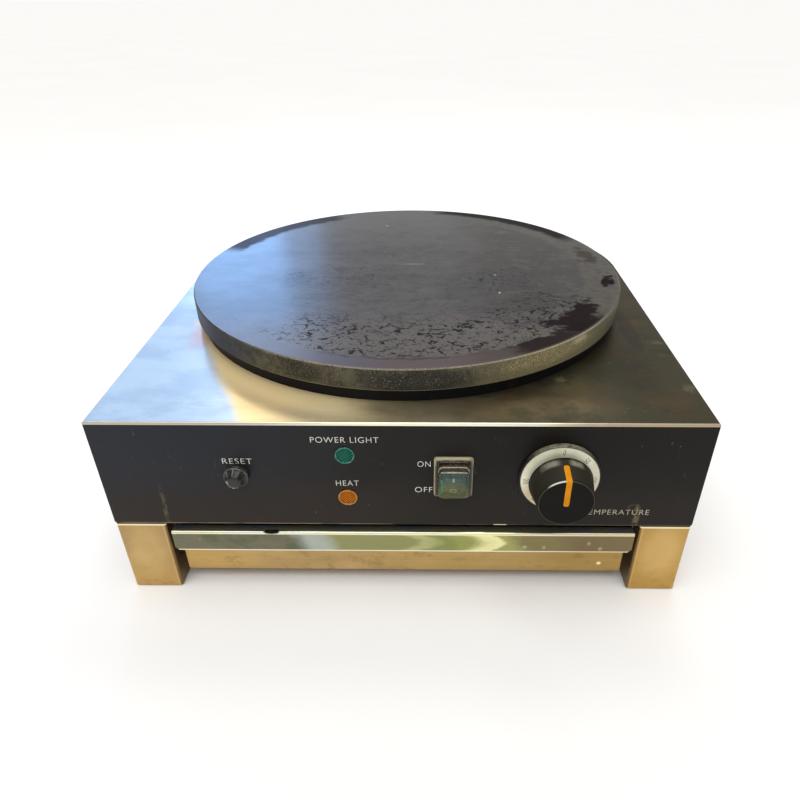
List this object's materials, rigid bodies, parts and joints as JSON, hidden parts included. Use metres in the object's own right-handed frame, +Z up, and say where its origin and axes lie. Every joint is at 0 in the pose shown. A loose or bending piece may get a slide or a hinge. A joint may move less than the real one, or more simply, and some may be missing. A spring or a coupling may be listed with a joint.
{
  "type": "electric crepe maker",
  "caption": "Countertop electric crepe maker: round cast-iron griddle on a low sheet-metal casing with knob, rocker switch, pilot lamps, legs and a slide-out drawer.",
  "frame": {"origin": "middle of the outer box on the table, under the griddle", "axes": "+Z up; -Y is the front, with the control panel; +X is to the operator's right"},
  "size_m": [0.4532, 0.5022, 0.1952],
  "materials": {
    "brushed_stainless": "brushed stainless sheet, light scratches and heat tint",
    "panel_black": "satin near-black printed overlay on steel",
    "galvanised_steel": "zinc plated",
    "bright_steel": "turned bright steel",
    "cast_iron": "machined and seasoned cast iron",
    "blackened_steel": "heat-blackened steel",
    "element_sheath": "dull heat-resistant alloy sheath",
    "insulation": "pressed mineral fibre board",
    "rubber_black": "matt",
    "knob_black": "satin heat-resistant plastic",
    "pointer_orange": "moulded orange plastic",
    "dial_silver": "satin silver ring with dark numbers",
    "bakelite": "dark moulded phenolic",
    "copper_tube": "drawn copper tube",
    "reset_black": "moulded",
    "reset_red": "moulded",
    "nickel": "nickel plated",
    "lens_green": "moulded prismatic lens",
    "lens_amber": "moulded prismatic lens",
    "lamp_white": "moulded",
    "bezel_grey": "moulded grey frame",
    "boot_clear": "clear soft splash cover",
    "rocker_green": "translucent green rocker",
    "gland_black": "nylon",
    "brass_stud": "turned brass",
    "terminal_white": "ceramic-white block",
    "lead_red": "silicone insulation"
  },
  "bodies": {
    "casing": {"top_cover": "brushed_stainless", "casing_wall": "brushed_stainless", "front_panel": "panel_black", "base_plate": "galvanised_steel", "casing_screws": "bright_steel", "leg_front_left": "brushed_stainless", "leg_front_right": "brushed_stainless", "leg_rear_left": "brushed_stainless", "leg_rear_right": "brushed_stainless", "foot_pads": "rubber_black", "leg_bolts": "bright_steel", "leg_nuts": "bright_steel", "cooking_plate": "cast_iron", "plate_skirt": "blackened_steel", "heating_element_outer": "element_sheath", "heating_element_inner": "element_sheath", "element_clamp": "blackened_steel", "insulation_disc": "insulation", "heat_pan": "galvanised_steel", "plate_studs": "bright_steel", "plate_nuts": "bright_steel", "pan_spacers": "bright_steel", "clamp_spacers": "bright_steel", "support_bridge_left": "galvanised_steel", "support_bridge_right": "galvanised_steel", "bridge_bolts": "bright_steel", "bridge_nuts": "bright_steel", "rail_rivets": "bright_steel", "drawer_rail_left": "galvanised_steel", "drawer_rail_right": "galvanised_steel", "thermostat_body": "bakelite", "thermostat_screws": "bright_steel", "dial_bezel": "knob_black", "dial_ring": "dial_silver", "thermostat_capillary": "copper_tube", "limiter_capillary": "copper_tube", "limiter_body": "bakelite", "reset_nut": "nickel", "lamp_power_lens": "lens_green", "lamp_power_body": "lamp_white", "lamp_heat_lens": "lens_amber", "lamp_heat_body": "lamp_white", "switch_bezel": "bezel_grey", "switch_boot": "boot_clear", "switch_body": "bakelite", "cable_gland": "gland_black", "gland_locknut": "gland_black", "earth_stud": "brass_stud", "earth_nuts": "brass_stud", "terminal_block": "terminal_white", "internal_leads": "lead_red"},
    "temperature_knob": {"knob": "knob_black", "knob_pointer": "pointer_orange", "thermostat_shaft": "bright_steel"},
    "power_rocker": {"switch_rocker": "rocker_green"},
    "limiter_button": {"reset_button": "reset_red"},
    "limiter_cap": {"reset_cap": "reset_black"},
    "drawer": {"drawer_tray": "brushed_stainless", "drawer_front": "brushed_stainless"}
  },
  "joints": [
    {"name": "knob_turn", "type": "hinge", "parent": "casing", "child": "temperature_knob", "pos_m": [0.117, -0.23588, 0.119], "axis": [0, 1, 0], "range_deg": [0, 264]},
    {"name": "rocker_tilt", "type": "hinge", "parent": "casing", "child": "power_rocker", "pos_m": [0.0389, -0.21788, 0.119], "axis": [-1, 0, 0], "range_deg": [0, 16]},
    {"name": "reset_press", "type": "slide", "parent": "casing", "child": "limiter_button", "axis": [0, 1, 0], "range_m": [0, 0.002], "stiffness_N_per_m": 400},
    {"name": "reset_cap_off", "type": "slide", "parent": "casing", "child": "limiter_cap", "axis": [0, -1, 0], "range_m": [0, 0.02]},
    {"name": "drawer_slide", "type": "slide", "parent": "casing", "child": "drawer", "axis": [0, -1, 0], "range_m": [0, 0.3]}
  ]
}
